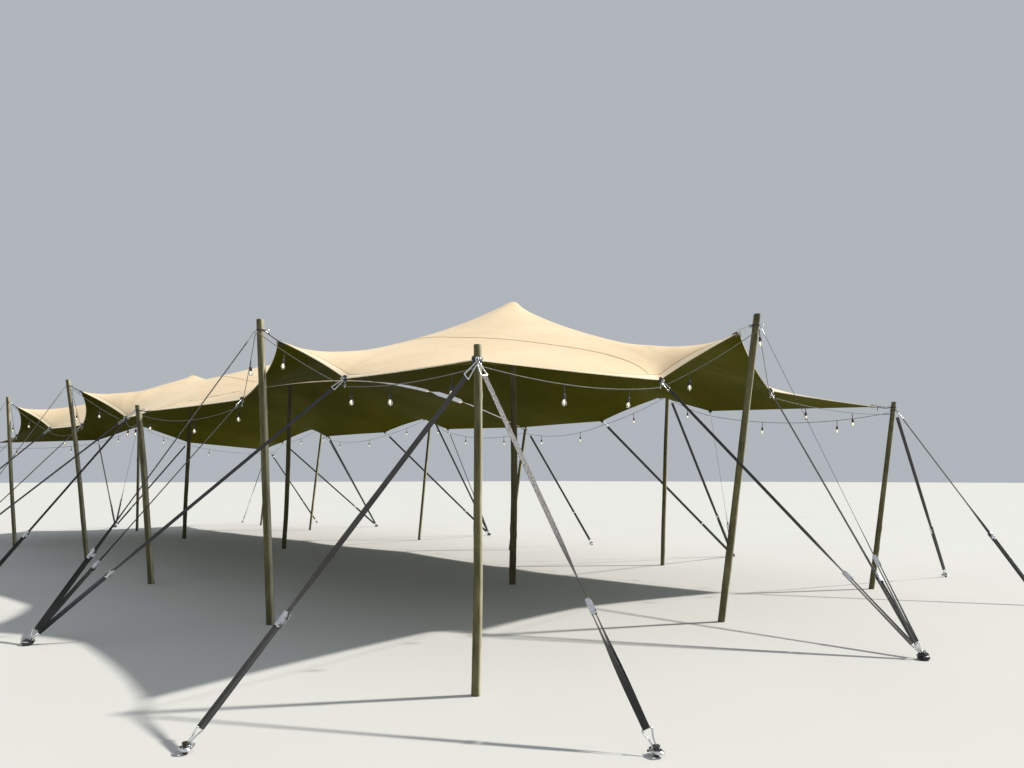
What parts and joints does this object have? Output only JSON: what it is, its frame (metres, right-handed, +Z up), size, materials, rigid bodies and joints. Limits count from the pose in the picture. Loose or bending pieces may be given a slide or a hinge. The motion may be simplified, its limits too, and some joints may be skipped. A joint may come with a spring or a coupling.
{
  "type": "stretch tent",
  "caption": "Stretch tent of two laced sand-coloured fabric sheets over round wooden poles, held by webbing ratchet straps to stakes, with festoon lights along the edge",
  "frame": {"origin": "on the floor, at the middle of the whole tent's footprint, stakes included", "axes": "+X along the tent towards its right-hand sheet, +Y across it towards its far side, +Z up"},
  "size_m": [23.244, 12.204, 4.15],
  "materials": {
    "stretch_fabric": "matte stretch knit, sand coloured, bright edge tape at the hems",
    "debarked_wood": "round debarked wood, grey-brown, knots and drying cracks",
    "strap_webbing": "black woven polyester webbing",
    "cable_rubber": "black rubber cable",
    "ratchet_chrome": "zinc-plated pressed steel, scuffed",
    "stake_steel": "steel pin, dull and scratched",
    "bulb_glass": "clear glass bulb",
    "socket_plastic": "black moulded lamp holder",
    "lacing_cord": "braided cord, sand coloured"
  },
  "bodies": {
    "root": {"canopy_right": "stretch_fabric", "canopy_left": "stretch_fabric", "near_right_corner_pole": "debarked_wood", "near_side_pole_1": "debarked_wood", "near_joint_pole": "debarked_wood", "near_side_pole_2": "debarked_wood", "near_side_pole_3": "debarked_wood", "near_left_corner_pole": "debarked_wood", "right_end_pole": "debarked_wood", "far_right_corner_pole": "debarked_wood", "far_side_pole_1": "debarked_wood", "far_joint_pole": "debarked_wood", "far_side_pole_2": "debarked_wood", "far_side_pole_3": "debarked_wood", "far_left_corner_pole": "debarked_wood", "left_end_pole": "debarked_wood", "centre_pole_1": "debarked_wood", "centre_pole_2": "debarked_wood", "centre_pole_3": "debarked_wood", "near_side_guy_1": "strap_webbing", "near_side_guy_2": "strap_webbing", "near_side_guy_3": "strap_webbing", "right_end_guy": "strap_webbing", "far_side_guy_1": "strap_webbing", "far_side_guy_2": "strap_webbing", "far_side_guy_3": "strap_webbing", "left_end_guy": "strap_webbing", "near_right_strap_near": "strap_webbing", "near_right_strap_right": "strap_webbing", "near_joint_strap": "strap_webbing", "near_left_strap_near": "strap_webbing", "near_left_strap_left": "strap_webbing", "far_right_strap_far": "strap_webbing", "far_right_strap_right": "strap_webbing", "far_joint_strap": "strap_webbing", "far_left_strap_far": "strap_webbing", "far_left_strap_left": "strap_webbing", "festoon_near": "cable_rubber", "festoon_right": "cable_rubber", "festoon_far": "cable_rubber", "festoon_left": "cable_rubber"}
  },
  "joints": []
}
